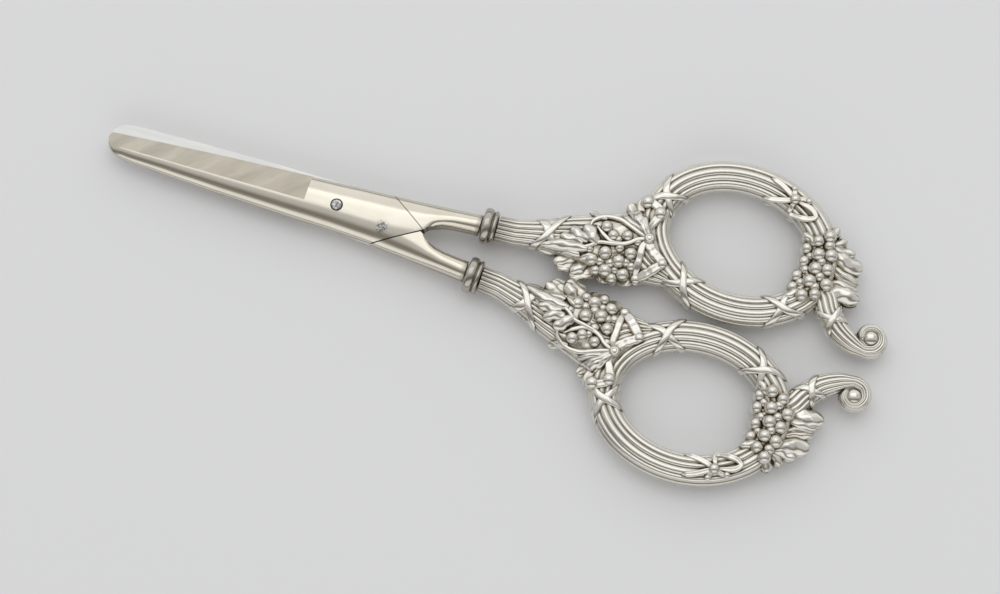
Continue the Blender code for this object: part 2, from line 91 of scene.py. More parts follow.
def follow(shares, place, blur=0.0):
    """Value of a table of shares at a place, rounded over a small distance."""
    table = np.array(shares)
    taps = np.linspace(-blur, blur, 7)
    weights = 1.05 - np.abs(np.linspace(-1.0, 1.0, 7))
    place = np.asarray(place, float)[..., None]
    return np.sum(np.interp(place + taps, table[:, 0], table[:, 1]) * weights, axis=-1) / weights.sum()


def start_clean():
    if bpy.context.object and bpy.context.object.mode != 'OBJECT':
        bpy.ops.object.mode_set(mode='OBJECT')
    bpy.ops.object.select_all(action='DESELECT')


def pick(piece):
    start_clean()
    piece.select_set(True)
    bpy.context.view_layer.objects.active = piece


def wrap_grid(name, points, capped=True):
    """A grid bent to rows of points (row, column, xyz above the parting plane), its seams joined."""
    start_clean()
    rows, columns, _ = points.shape
    bpy.ops.mesh.primitive_grid_add(x_subdivisions=columns - 1, y_subdivisions=rows - 1, size=1.0)
    piece = bpy.context.object
    piece.name = piece.data.name = name
    placed = points + np.array((0.0, 0.0, parting))
    piece.data.vertices.foreach_set("co", placed.astype(np.float32).reshape(-1))
    bpy.ops.object.mode_set(mode='EDIT')
    bpy.ops.mesh.select_all(action='SELECT')
    bpy.ops.mesh.remove_doubles(threshold=0.0005 * MM)
    if capped:
        bpy.ops.mesh.select_all(action='DESELECT')
        bpy.ops.mesh.select_non_manifold(extend=False)
        bpy.ops.mesh.fill_holes(sides=0)
        bpy.ops.mesh.select_all(action='SELECT')
    bpy.ops.mesh.normals_make_consistent(inside=False)
    bpy.ops.object.mode_set(mode='OBJECT')
    return piece


def smooth(piece, degrees=35.0):
    pick(piece)
    bpy.ops.object.shade_smooth_by_angle(angle=math.radians(degrees))
    for modifier in list(piece.modifiers):
        bpy.ops.object.modifier_apply(modifier=modifier.name)


def cut(piece, tool):
    """Cut a second mesh away, which is then removed."""
    pick(piece)
    boolean = piece.modifiers.new("cut", 'BOOLEAN')
    boolean.operation = 'DIFFERENCE'
    boolean.object = tool
    boolean.solver = 'EXACT'
    bpy.ops.object.modifier_apply(modifier=boolean.name)
    bpy.data.objects.remove(tool, do_unlink=True)


def mirrored(piece, name, scale):
    """A copy with its own mesh, mirrored about the long axis, the parting plane or both."""
    pick(piece)
    bpy.ops.object.duplicate(linked=False)
    copy = bpy.context.object
    copy.name = copy.data.name = name
    spots = np.empty(len(copy.data.vertices) * 3)
    copy.data.vertices.foreach_get("co", spots)
    spots = spots.reshape(-1, 3)
    spots[:, 2] -= parting
    spots *= np.array(scale)
    spots[:, 2] += parting
    copy.data.vertices.foreach_set("co", spots.reshape(-1))
    if scale[0] * scale[1] * scale[2] < 0.0:
        copy.data.flip_normals()
    copy.data.update()
    return copy


def powered(values, power):
    """Values raised to a power, with their signs kept."""
    return np.sign(values) * np.abs(values) ** power


def steel_bar():
    """Blade, plate and shank at full thickness, before the lap and the facet are cut."""
    plate_start, crown_start, crown_run = -6.5 * MM, -6.6 * MM, 6.0 * MM
    before_facet = 0.131
    rows = []
    tip_run = 1.0 - np.geomspace(0.0006, 0.12, 36)
    blade_run = np.concatenate(([1.0], tip_run, np.linspace(0.87, 0.14, 60), (0.137, 0.1355, 0.134, 0.132)))
    for share in blade_run:
        blur = 0.004 if share > 0.14 else 0.0
        high = follow(edge_shares, share, min(blur, 1.0 - share)) * plate_half_width
        low = -follow(spine_shares, share, min(blur, 1.0 - share)) * plate_half_width
        round_off = min(1.0, math.sqrt(max(1.0 - share, 0.0) / 0.012) + 0.12)
        depth = follow(depth_shares, share, 0.02) * blade_thickness * round_off
        rows.append((-share * blade_reach, low, high, depth))
    for along in np.linspace(plate_start, shank_end, 150):
        if along < 0.0:
            high = follow(edge_shares, min(-along / blade_reach, before_facet)) * plate_half_width
            low = -follow(spine_shares, -along / blade_reach, 0.02) * plate_half_width
        else:
            high = follow(outer_shares, along / shank_end, 0.05) * plate_half_width
            low = follow(inner_shares, along / shank_end, 0.012) * plate_half_width
        rows.append((along, low, high, blade_thickness))
    turn = np.linspace(0.0, math.tau, 97)
    side, rise = (powered(way, 2.0 / bar_squareness) for way in (np.cos(turn), np.sin(turn)))
    sections = []
    for along, low, high, depth in rows:
        middle = 0.5 * (low + high)
        if along > crown_start:
            crown = follow(crown_shares, along / shank_end, 0.05) * plate_half_width
            middle += (crown - middle) * min(1.0, (along - crown_start) / crown_run)
        half_width = np.where(side > 0.0, high - middle, middle - low)
        x = np.full(len(turn), along)
        sections.append(np.column_stack((x, middle + side * half_width, depth * rise)))
    return wrap_grid("front_blade_skin", np.array(sections))


def facet_wedge():
    """What the grinding wheel takes off the face, from the ridge to the thin edge."""
    rings = []
    ceiling = blade_thickness + overrun
    for share in np.linspace(facet_start_share, 1.03, 30):
        ridge = -follow(ridge_shares, share, 0.02) * plate_half_width
        edge = follow(edge_shares[2:9], share) * plate_half_width
        depth = follow(depth_shares, share, 0.02) * blade_thickness
        fall = (depth - edge_thickness) / (edge - ridge)
        corners = ((ridge, depth), (edge + overrun, edge_thickness - fall * overrun),
                   (edge + overrun, ceiling), (ridge, ceiling), (ridge, depth))
        rings.append([(-share * blade_reach, y, z) for y, z in corners])
    return wrap_grid("facet_wedge", np.array(rings))


def block(name, outline, low, high):
    """Upright block on a plan outline."""
    outline = np.array(outline)
    closed = np.vstack((outline, outline[:1]))
    levels = [np.column_stack((closed, np.full(len(closed), level))) for level in (low, high)]
    return wrap_grid(name, np.array(levels))


def lap_block():
    """The other half's room behind the plate, up to the slanting shoulder."""
    half_span = 2.0 * plate_half_width
    slant = half_span / math.tan(lap_angle)
    shoulder = lap_reach + 0.5 * lap_gap / math.sin(lap_angle)
    front = -blade_reach - overrun
    outline = ((front, half_span), (shoulder - slant, half_span), (shoulder + slant, -half_span),
               (front, -half_span))
    return block("lap_block", outline, -blade_thickness - overrun, 0.5 * blade_play)


def curve_through(points, count):
    """Smooth line through the points, in Catmull-Rom pieces."""
    points = np.array(points, float)
    padded = np.vstack((2.0 * points[0] - points[1], points, 2.0 * points[-1] - points[-2]))
    place = np.linspace(0.0, len(points) - 1.0, count)
    low = np.minimum(place.astype(int), len(points) - 2)
    t = (place - low)[:, None]
    a, b, c, d = (padded[low + step] for step in range(4))
    return 0.5 * (2.0 * b + (c - a) * t + (2.0 * a - 5.0 * b + 4.0 * c - d) * t ** 2
                  + (3.0 * b - a - 3.0 * c + d) * t ** 3)


def shoulder_block():
    """All that the other half's shank needs, up to this half's slanting shoulder and the crotch."""
    curve = curve_through(crotch_points, 60) * MM
    foot, outside, half_tall = 3.0 * MM, -20.0 * MM, 6.0 * MM
    line = (foot - lap_reach) * math.tan(lap_angle) + 0.5 * lap_gap / math.cos(lap_angle)
    outline = [(foot, line), *curve.tolist(), (curve[-1, 0], outside), (foot, outside)]
    return block("shoulder_block", outline, -half_tall, half_tall)


def rivet_hole():
    start_clean()
    bpy.ops.mesh.primitive_cylinder_add(vertices=64, radius=rivet_radius + 0.04 * MM, depth=8.0 * MM,
                                        location=(0.0, 0.0, parting))
    hole = bpy.context.object
    bpy.ops.object.transform_apply(location=True)
    return hole


front_blade = steel_bar()
cut(front_blade, lap_block())
cut(front_blade, shoulder_block())
cut(front_blade, facet_wedge())
cut(front_blade, rivet_hole())
smooth(front_blade, 22.0)
rear_blade = mirrored(front_blade, "rear_blade_skin", (1.0, -1.0, -1.0))


class Nodes:
    """A shader's node tree, built up by short calls. Places in it are the object's coordinates."""

    def __init__(self, tree):
        self.tree = tree

    def feed(self, node, inputs):
        """Set a node's inputs, by name or number, to values or to other nodes' outputs."""
        for key, value in inputs.items():
            if isinstance(value, bpy.types.NodeSocket):
                self.tree.links.new(value, node.inputs[key])
            else:
                node.inputs[key].default_value = value
        return node

    def add(self, kind, inputs, **settings):
        node = self.tree.nodes.new(kind)
        for key, value in settings.items():
            setattr(node, key, value)
        return self.feed(node, inputs)

    def number(self, operation, *values):
        return self.add("ShaderNodeMath", dict(enumerate(values)), operation=operation).outputs["Value"]

    def product(self, first, *others):
        for other in others:
            first = self.number('MULTIPLY', first, other)
        return first

    def clipped(self, value):
        """The value, held between 0 and 1."""
        return self.number('MINIMUM', self.number('MAXIMUM', value, 0.0), 1.0)

    def rising(self, value, start, reach):
        """0 at the start and 1 at its reach beyond it."""
        return self.number('DIVIDE', self.number('SUBTRACT', value, start), reach)

    def near(self, value, middle, reach):
        """1 at the middle value, falling to 0 at its reach."""
        off = self.number('ABSOLUTE', self.number('SUBTRACT', value, middle))
        return self.number('SUBTRACT', 1.0, self.number('DIVIDE', off, reach))

    def axes(self, vector):
        return self.add("ShaderNodeSeparateXYZ", {"Vector": vector}).outputs

    def coordinates(self, kind="Object"):
        return self.add("ShaderNodeTexCoord", {}).outputs[kind]

    def noise(self, scale, detail=4.0, roughness=0.55, stretch=(1.0, 1.0, 1.0), way=None):
        """Noise in features per metre, stretched along the axes of the object or of a turned way."""
        place = {"Vector": way or self.coordinates(), "Scale": stretch}
        inputs = {"Scale": scale, "Detail": detail, "Roughness": roughness,
                  "Vector": self.add("ShaderNodeMapping", place).outputs["Vector"]}
        return self.add("ShaderNodeTexNoise", inputs).outputs["Fac"]

    def ramp(self, value, *stops, shape='LINEAR'):
        """Colour ramp with stops of (place, colour), or of (place, grey)."""
        node = self.add("ShaderNodeValToRGB", {"Fac": value})
        node.color_ramp.interpolation = shape
        while len(node.color_ramp.elements) < len(stops):
            node.color_ramp.elements.new(0.5)
        for element, (place, colour) in zip(node.color_ramp.elements, stops):
            element.position = place
            element.color = (*colour, 1.0) if isinstance(colour, tuple) else (colour, colour, colour, 1.0)
        return node.outputs["Color"]

    def darker(self, colour, mask, dark):
        mix = self.add("ShaderNodeMix", {0: mask, 6: colour, 7: (*dark, 1.0)}, data_type='RGBA')
        return mix.outputs[2]


class Finish(Nodes):
    """A material with one Principled shader."""

    def __init__(self, name):
        self.material = bpy.data.materials.new(name)
        self.material.use_nodes = True
        super().__init__(self.material.node_tree)

    def shade(self, colour, metallic, roughness, bump=None):
        """Feed the shader, with a bump of (height, strength, distance) where there is one."""
        inputs = {"Base Color": colour, "Metallic": metallic, "Roughness": roughness}
        if bump:
            relief = dict(zip(("Height", "Strength", "Distance"), bump))
            inputs["Normal"] = self.add("ShaderNodeBump", relief).outputs["Normal"]
        self.feed(self.tree.nodes["Principled BSDF"], inputs)
        return self.material


def gilt_steel_finish():
    """Pale gilded steel: polish drawn along the blade, clouding, a scribed line, a scuff by the
    crotch, painted shade on the upright sides, and a dark stain of solder at the collar."""
    gilt = Finish("gilt_steel")
    x, y, z = gilt.axes(gilt.coordinates())
    outer = gilt.number('ABSOLUTE', y)
    shown = gilt.number('GREATER_THAN', gilt.product(y, gilt.number('SUBTRACT', z, parting)), 0.0)

    (start_x, start_y), (end_x, end_y) = (12.0, 5.9), (20.0, 0.5)
    slant = math.atan2(end_y - start_y, end_x - start_x)
    off_line = gilt.number('ADD', gilt.product(gilt.number('SUBTRACT', x, start_x * MM), -math.sin(slant)),
                           gilt.product(gilt.number('SUBTRACT', outer, start_y * MM), math.cos(slant)))
    line = gilt.product(gilt.clipped(gilt.product(gilt.near(off_line, 0.0, 0.13 * MM), 2.0)), shown,
                        gilt.number('LESS_THAN', x, (end_x + 0.3) * MM))

    scuff = gilt.product(gilt.clipped(gilt.near(x, 11.2 * MM, 1.5 * MM)),
                         gilt.clipped(gilt.near(outer, 1.8 * MM, 1.8 * MM)))
    grit = gilt.number('GREATER_THAN', gilt.noise(2400.0, 4.0, 0.65), 0.49)
    scuff = gilt.product(gilt.clipped(gilt.product(scuff, 3.0)), gilt.number('SUBTRACT', 1.0, shown), grit)

    ragged = gilt.number('SUBTRACT', gilt.noise(900.0, 2.0), 0.55)
    stain = gilt.clipped(gilt.number('ADD', gilt.rising(x, 30.9 * MM, 1.5 * MM), ragged))

    # Painted shade: faces that stand upright are darkened, for the shade along the blade's edges.
    upright = gilt.number('ABSOLUTE', gilt.axes(gilt.coordinates("Normal"))["Z"])
    sides = gilt.clipped(gilt.number('DIVIDE', gilt.number('SUBTRACT', 0.42, upright), 0.3))

    colour = gilt.ramp(gilt.noise(130.0, 3.0, stretch=(1.0, 2.4, 1.0)),
                       (0.3, (0.715, 0.672, 0.572)), (0.7, (0.77, 0.73, 0.635)))
    colour = gilt.darker(colour, gilt.product(line, 0.9), (0.10, 0.085, 0.065))
    colour = gilt.darker(colour, gilt.product(scuff, 0.9), (0.20, 0.215, 0.25))
    colour = gilt.darker(colour, gilt.product(stain, 0.85), (0.17, 0.13, 0.085))
    colour = gilt.darker(colour, gilt.product(sides, 0.8), (0.15, 0.125, 0.10))
    grain = gilt.noise(5200.0, 2.0, stretch=(0.02, 1.0, 1.0))
    rough = gilt.number('ADD', gilt.ramp(grain, (0.3, 0.14), (0.75, 0.21)), gilt.product(stain, 0.3))
    return gilt.shade(colour, 1.0, rough, (grain, 0.06, 0.00002))


def ground_facet_finish():
    """The facet as it left the wheel: matter, with fine grinding lines, and broad slanting stripes of
    painted reflection that also vary its roughness.
    """
    facet = Finish("ground_facet")
    slant = {"Vector": facet.coordinates(), "Rotation": (0.0, 0.0, math.radians(-46.0))}
    turned = facet.add("ShaderNodeMapping", slant).outputs["Vector"]
    # Painted reflection: broad slanting light and dark stripes in the facet's tone.
    painted_reflection_bands = facet.noise(1.0, 5.0, 0.6, (50.0, 290.0, 50.0), turned)
    lines = facet.noise(1.0, 2.0, 0.5, (150.0, 9000.0, 150.0), turned)
    tone = facet.ramp(painted_reflection_bands, (0.36, (0.47, 0.435, 0.365)), (0.5, (0.535, 0.495, 0.415)),
                      (0.62, (0.60, 0.56, 0.475)), (0.72, (0.53, 0.49, 0.41)))
    return facet.shade(tone, 1.0, facet.ramp(painted_reflection_bands, (0.3, 0.38), (0.7, 0.30)), (lines, 0.12, 0.00002))


def inner_face_finish():
    """The flat inner faces, never gilded: whiter steel with rubbed streaks along the blade."""
    steel = Finish("rubbed_steel")
    streaks = steel.noise(700.0, stretch=(0.12, 1.0, 1.0))
    tone = steel.ramp(streaks, (0.35, (0.66, 0.66, 0.65)), (0.65, (0.80, 0.80, 0.785)))
    return steel.shade(tone, 0.8, steel.ramp(streaks, (0.3, 0.30), (0.7, 0.42)))


def shoulder_finish():
    """The shoulders of the lap, near-black: painted shade for the narrow slot between the halves."""
    slot_shade = Finish("slot_shade_shoulder")
    # Painted shade: a near-black tone that stands for the shade in the lap's narrow slot.
    return slot_shade.shade(slot_shade.ramp(slot_shade.noise(1500.0, 3.0), (0.3, (0.035, 0.03, 0.025)),
                                  (0.7, (0.09, 0.08, 0.065))), 0.6, 0.6)


def finish_blade(piece, flip):
    """Set the facet, the inner face and the lap's shoulder apart from the gilded rest."""
    piece.data.materials.clear()
    for material in steel_finishes:
        piece.data.materials.append(material)
    facet_way = np.array((0.0, 0.38 * flip, 0.92 * flip))
    facet_way = facet_way / np.linalg.norm(facet_way)
    walls = [np.array((sign * math.sin(lap_angle), -flip * math.cos(lap_angle), 0.0))
             for sign in (1.0, -1.0)]
    for face in piece.data.polygons:
        way, middle = np.array(face.normal), np.array(face.center)
        face.material_index = 0
        if way @ facet_way > 0.993 and middle[0] < -facet_start_share * blade_reach:
            face.material_index = 1
        elif way[2] * flip < -0.98 and abs(middle[2] - parting) < 0.2 * MM:
            face.material_index = 2
        elif 5.0 * MM < middle[0] < 21.0 * MM and max(way @ wall for wall in walls) > 0.97:
            face.material_index = 3


def attach(piece, body, nodes):
    """Let a piece ride on its body, in the place of the CAD's nodes."""
    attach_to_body(piece, body)
    if nodes:
        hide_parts(*nodes)


steel_finishes = (gilt_steel_finish(), ground_facet_finish(), inner_face_finish(), shoulder_finish())
finish_blade(front_blade, 1.0)
finish_blade(rear_blade, -1.0)
attach(front_blade, "upper_half", ["front_blade"])
attach(rear_blade, "lower_half", ["rear_blade"])


# Pivot rivet. A short steel pin through both plates, headed at the ends and filed flush,
# with a slightly domed, bruised end inside a thin dark ring.
rivet_shares = ((0.55, 0.99), (0.86, 0.985), (0.97, 0.95), (1.0, 0.9), (0.97, 0.0))


def turned(name, front, centre=(0.0, 0.0)):
    """Round piece from a profile of (radius, height), which is mirrored behind the parting plane."""
    turn = np.linspace(0.0, math.tau, 65)
    back = [(radius, -height) for radius, height in reversed(front) if height > 0.0]
    rows = [np.column_stack((centre[0] + radius * np.cos(turn), centre[1] + radius * np.sin(turn),
                             np.full(len(turn), height))) for radius, height in front + back]
    return wrap_grid(name, np.array(rows))


def bruised_steel_finish():
    """Bare filed steel, bruised grey, with a dark rim where dirt lies in the joint."""
    bruised = Finish("bruised_steel")
    dents = bruised.noise(1500.0, 3.0, stretch=(1.0, 1.0, 0.2))
    x, y, _ = bruised.axes(bruised.coordinates())
    from_axis = bruised.number('SQRT', bruised.number('ADD', bruised.product(x, x), bruised.product(y, y)))
    rim = bruised.clipped(bruised.rising(from_axis, 1.02 * MM, 0.22 * MM))
    tone = bruised.ramp(dents, (0.38, (0.20, 0.19, 0.19)), (0.58, (0.66, 0.65, 0.64)))
    colour = bruised.darker(tone, rim, (0.045, 0.04, 0.036))
    return bruised.shade(colour, 1.0, 0.30, (dents, 0.4, 0.00006))


rivet_profile = [(radius * rivet_radius, height * blade_thickness) for radius, height in rivet_shares]
pivot_rivet = turned("pivot_rivet_skin", rivet_profile)
smooth(pivot_rivet, 35.0)
pivot_rivet.data.materials.append(bruised_steel_finish())
attach(pivot_rivet, "upper_half", ["pivot_rivet"])


# Handle shells. Each handle is two struck halves of thin silver, joined along a seam on the
# ring's edge: a reeded stem, a reeded finger ring, and a reeded stalk that ends in a scroll.
shell_squareness = 2.5
reed_depth = 0.34 * MM
stem_start = 35.95 * MM
stem_run = 52.71 * MM
stem_foot = 5.9 * MM
neck_run = 13.0 * MM
stem_root_half_width = 8.5 * MM
stem_half_height = 2.6 * MM
ring_centre = np.array((88.66, 18.9)) * MM
ring_half_length = 19.5 * MM
ring_half_breadth = 14.85 * MM
ring_tilt = math.radians(-4.0)
ring_half_width = 3.5 * MM
ring_half_height = 2.9 * MM
stem_shares = (
    (0.0, 0.012, 0.335), (0.078, 0.038, 0.347), (0.154, 0.112, 0.382), (0.229, 0.185, 0.471),
    (0.305, 0.254, 0.588), (0.381, 0.308, 0.694), (0.457, 0.354, 0.788), (0.533, 0.408, 0.882),
    (0.608, 0.5, 1.0), (0.656, 0.315, 0.729), (0.703, 0.185, 0.494), (0.751, 0.085, 0.294),
)


def run_along(line):
    """Distance along a line at each of its points."""
    steps = np.linalg.norm(np.diff(line, axis=0), axis=1)
    return np.concatenate(([0.0], np.cumsum(steps)))


class Bundle:
    """A bundle of reeds that follows a line in the parting plane, with squared oval sections."""

    def __init__(self, line, across, half_width, half_height, closed=False):
        self.line, self.across = np.array(line), np.array(across)
        self.half_width, self.half_height = np.array(half_width), np.array(half_height)
        self.run = run_along(self.line)
        self.length = self.run[-1]
        self.closed = closed

    def read(self, values, run):
        """Values of the line's points, read at runs along it."""
        run = np.mod(run, self.length) if self.closed else run
        if values.ndim == 1:
            return np.interp(run, self.run, values)
        return np.stack([np.interp(run, self.run, values[:, axis]) for axis in range(2)], axis=-1)

    def skin(self, run, turn, lift=0.0):
        """Points at a run along the line and a turn round the section, lifted off the surface."""
        run, turn = np.broadcast_arrays(np.asarray(run, float), np.asarray(turn, float))
        wide, high = self.read(self.half_width, run), self.read(self.half_height, run)
        side = powered(np.cos(turn), 2.0 / shell_squareness)
        rise = powered(np.sin(turn), 2.0 / shell_squareness)
        slope_side = powered(side, shell_squareness - 1.0) / wide
        slope_rise = powered(rise, shell_squareness - 1.0) / high
        steep = np.hypot(slope_side, slope_rise)
        side = side * wide + lift * slope_side / steep
        rise = rise * high + lift * slope_rise / steep
        centre, across = self.read(self.line, run), self.read(self.across, run)
        return np.concatenate((centre + across * side[..., None], rise[..., None]), axis=-1)


def reed_turns(reeds):
    """Turns round a section, with the share of the groove depth at each: front, side, back, side."""
    spread = 0.92
    share = np.linspace(-1.0, 1.0, 11)
    dip = 0.5 * (1.0 - np.sqrt(1.0 - 0.985 * share ** 2)) + 0.5 * share ** 2
    bounds = spread * (1.0 - 2.0 * np.arange(reeds + 1) / reeds)
    bounds[1:-1] += 0.16 * spread / reeds * np.sin(2.3 * np.arange(1, reeds))
    sides, dips = [], []
    for left, right in zip(bounds[:-1], bounds[1:]):
        sides.extend(0.5 * (left + right) - share[:-1] * 0.5 * (left - right))
        dips.extend(dip[:-1])
    sides.append(-spread)
    dips.append(dip[-1])
    sides = np.array(sides)
    front = np.arccos(powered(sides, 0.5 * shell_squareness))
    edge = np.linspace(-1.0, 1.0, 15)[1:-1]
    seam = 0.3 * np.exp(-(edge / 0.12) ** 2) + 0.88 * np.abs(edge) ** 6
    inner = math.pi + edge * (math.pi - front[-1])
    outer = math.tau + edge * front[0]
    turns = np.concatenate((front, inner, math.tau - front[::-1], outer, (math.tau + front[0],)))
    depths = np.concatenate((dips, seam, dips[::-1], seam, (dips[0],)))
    return turns, depths


def reeded(name, bundle, runs, reeds, depth=reed_depth, fade=None):
    """Skin of a bundle with its reeds struck in. Fade is the share of the depth at each run."""
    turns, depths = reed_turns(reeds)
    fade = np.ones(len(runs)) if fade is None else fade
    lift = -depth * depths[None, :] * fade[:, None]
    return wrap_grid(name, bundle.skin(np.asarray(runs)[:, None], turns[None, :], lift), not bundle.closed)


def left_of(line, closed=False):
    """Unit directions square to a line, on its left side."""
    if closed:
        ahead = np.roll(line[:-1], -1, axis=0) - np.roll(line[:-1], 1, axis=0)
        ahead = np.vstack((ahead, ahead[:1]))
    else:
        ahead = np.gradient(line, axis=0)
    ahead = ahead / np.linalg.norm(ahead, axis=1)[:, None]
    return np.stack((-ahead[:, 1], ahead[:, 0]), axis=1)


def stem_bundle():
    table = np.array(stem_shares)
    share = np.linspace(0.0, table[-1, 0], 120)
    rise = follow(table[:, :2], share, 0.02)
    width = follow(table[:, (0, 2)], share, 0.02)
    line = np.stack((stem_start + share * stem_run, stem_foot + rise * neck_run), axis=1)
    across = np.tile((0.0, 1.0), (len(share), 1))
    height = stem_half_height + share * (ring_half_height - stem_half_height)
    return Bundle(line, across, width * stem_root_half_width, height)


def ring_bundle():
    turn = np.linspace(0.0, math.tau, 361)
    along, across = ring_half_length * np.cos(turn), ring_half_breadth * np.sin(turn)
    line = ring_centre + np.stack((along * math.cos(ring_tilt) - across * math.sin(ring_tilt),
                                   along * math.sin(ring_tilt) + across * math.cos(ring_tilt)), axis=1)
    outward = -left_of(line, closed=True)
    wide, high = (np.full(len(turn), size) for size in (ring_half_width, ring_half_height))
    return Bundle(line, outward, wide, high, closed=True)


stalk_points = (
    (104.9, 17.2, 2.3), (107.6, 15.4, 2.8), (110.5, 12.8, 3.0), (112.4, 9.7, 2.9), (115.2, 6.7, 2.65),
    (118.7, 4.7, 2.3),
)
stalk_half_height = 2.5 * MM
stalk_round = 1.1 * MM
scroll_centre = np.array((122.7, 6.9)) * MM
scroll_turns = (
    (-112.0, 4.95, 1.75), (-90.0, 4.75, 1.45), (-60.0, 4.5, 1.3), (-30.0, 4.2, 1.2), (0.0, 3.9, 1.15),
    (30.0, 3.6, 1.1), (60.0, 3.45, 1.1), (90.0, 3.4, 1.1), (120.0, 3.4, 1.1), (150.0, 3.35, 1.1),
    (178.0, 3.05, 1.05), (203.0, 2.65, 1.0), (225.0, 2.3, 0.95),
)
eye_radius, eye_foot, eye_height = 1.75, 1.55, 1.05
bed_profile = ((1.8, 1.74), (2.6, 1.95), (2.9, 1.5))


def stalk_bundle():
    """The stalk's reeds run on round the scroll's eye, to a rounded end."""
    stations = [(x * MM, y * MM, half * MM) for x, y, half in stalk_points]
    for degrees, rim, inner in scroll_turns:
        turn, middle = math.radians(degrees), 0.5 * (rim + inner) * MM
        spot = scroll_centre + middle * np.array((math.cos(turn), math.sin(turn)))
        stations.append((*spot, 0.5 * (rim - inner) * MM))
    stations = curve_through(stations, 320)
    line = stations[:, :2]
    run = run_along(line)
    rounding = np.sqrt(1.0 - np.clip((run - run[-1]) / stalk_round + 1.0, 0.0, 0.995) ** 2)
    half_height = stalk_half_height * (0.35 + 0.65 * rounding)
    return Bundle(line, -left_of(line), stations[:, 2] * rounding, half_height)


stem, ring, stalk = stem_bundle(), ring_bundle(), stalk_bundle()


def stem_at(x):
    """Run along the stem's line where it reaches a place on the long axis."""
    return np.interp(x, stem.line[:, 0], stem.run)


def eye_skin():
    """The round eye in the scroll, on a flat bed between the reeds, the same on its two faces."""
    dome = [(eye_radius * math.sin(angle), eye_foot + eye_height * math.cos(angle))
            for angle in np.linspace(0.02, 0.5 * math.pi, 14)]
    profile = [(radius * MM, height * MM) for radius, height in (*dome, *bed_profile)]
    return turned("scroll", profile, scroll_centre)


tie_sink = 0.12 * MM


def tie(bundle, run, reach, width, height, tilt):
    """One flat ribbon of a crossed tie: a closed band that slants once round the bundle."""
    turn = np.linspace(0.0, math.tau, 97)
    centre = run + tilt * reach * np.cos(turn)
    section = np.linspace(0.0, math.tau, 17)
    rows = []
    for side in section:
        spread = 0.5 * width * powered(np.cos(side), 0.7) * (0.85 + 0.15 * np.abs(np.sin(turn)))
        crown = height * powered(np.sin(side), 0.6)
        rows.append(bundle.skin(centre + spread, turn, crown - tie_sink))
    return wrap_grid("tie", np.array(rows).transpose(1, 0, 2), False)


def join(pieces, name):
    """All the pieces as one object."""
    start_clean()
    for piece in pieces:
        piece.select_set(True)
    bpy.context.view_layer.objects.active = pieces[0]
    bpy.ops.object.join()
    joined = bpy.context.object
    joined.name = joined.data.name = name
    return joined


def crossed_tie(name, bundle, run, reach, width=2.2 * MM, height=0.5 * MM):
    pair = [tie(bundle, run, reach, width, height, 1.0), tie(bundle, run, reach, width, height * 0.8, -1.0)]
    return join(pair, name)


neck_runs = np.linspace(0.0, stem_at(48.3 * MM), 70)
body_runs = np.linspace(stem_at(46.9 * MM), stem.length, 150)
ring_runs = np.linspace(0.0, ring.length, 301)
stalk_runs = np.concatenate((np.linspace(0.0, stalk.length - stalk_round - 0.1 * MM, 230),
                             stalk.length - stalk_round * np.linspace(1.0, 0.0, 16) ** 2))
stalk_fade = np.clip(stalk.read(stalk.half_width, stalk_runs) / (2.6 * MM), 0.0, 1.0)
shell_pieces = [
    reeded("stem_neck", stem, neck_runs, 5),
    reeded("stem_body", stem, body_runs, 8),
    reeded("ring_reeds", ring, ring_runs, 4, 0.42 * MM),
    reeded("stalk", stalk, stalk_runs, 4, fade=stalk_fade),
    eye_skin(),
]


def run_near(bundle, x, y):
    """Run along a bundle's line nearest to a place."""
    gaps = np.hypot(bundle.line[:, 0] - x * MM, bundle.line[:, 1] - y * MM)
    return bundle.run[int(np.argmin(gaps))]


tie_pieces = [
    crossed_tie("stem_tie", stem, stem_at(47.3 * MM), 2.8 * MM),
    crossed_tie("ring_tie_near", ring, run_near(ring, 79.0, 5.5), 3.5 * MM),
    crossed_tie("ring_tie_far", ring, run_near(ring, 101.5, 7.9), 3.5 * MM),
    crossed_tie("ring_tie_root", ring, run_near(ring, 71.2, 23.6), 3.4 * MM),
    crossed_tie("stalk_tie", stalk, run_near(stalk, 113.4, 8.6), 2.1 * MM, 1.9 * MM, 0.45 * MM),
]


# The same pieces on both handles. The lower handle mirrors the upper about the long axis, and
# the back of a handle repeats its front. All are silver, bright where hands rub it and dark
# with tarnish and painted shade in the hollows. The shells hold the tangs in hard black pitch.


def silver_finish(name, polish, wear):
    """Silver, bright on the heights, with grey-brown tarnish and painted shade in the hollows, and tarnish
    about the neck.
    """
    silver = Finish(name)
    # Painted shade: ambient occlusion darkens hollows, gaps between parts and the grapes' sides, over the
    # real tarnish.
    hollow_shade = silver.add("ShaderNodeAmbientOcclusion", {"Distance": 1.0 * MM}, samples=8, only_local=False)
    blotch = silver.noise(420.0, 5.0, 0.6)
    spread = silver.number('MULTIPLY_ADD', blotch, 0.34, wear)
    # Painted shade from the occlusion is added here to the blotches of wear and tarnish.
    worn = silver.number('ADD', hollow_shade.outputs["AO"], spread)
    tone = silver.ramp(worn, (0.0, (0.125, 0.092, 0.058)), (0.36, (0.255, 0.20, 0.13)),
                       (0.66, (0.52, 0.48, 0.40)), (0.95, (0.77, 0.75, 0.69)))
    x = silver.axes(silver.coordinates())["X"]
    neck = silver.number('DIVIDE', silver.number('SUBTRACT', 40.2 * MM, x), 3.6 * MM)
    neck = silver.number('ADD', neck, silver.number('SUBTRACT', blotch, 0.5))
    colour = silver.darker(tone, silver.product(silver.clipped(neck), 0.5), (0.20, 0.165, 0.125))
    rough = silver.ramp(worn, (0.0, 0.62), (0.5, 0.38), (0.85, polish + 0.06), (1.0, polish))
    return silver.shade(colour, 0.93, rough, (silver.noise(1900.0, 3.0, 0.6), 0.35, 0.00005))


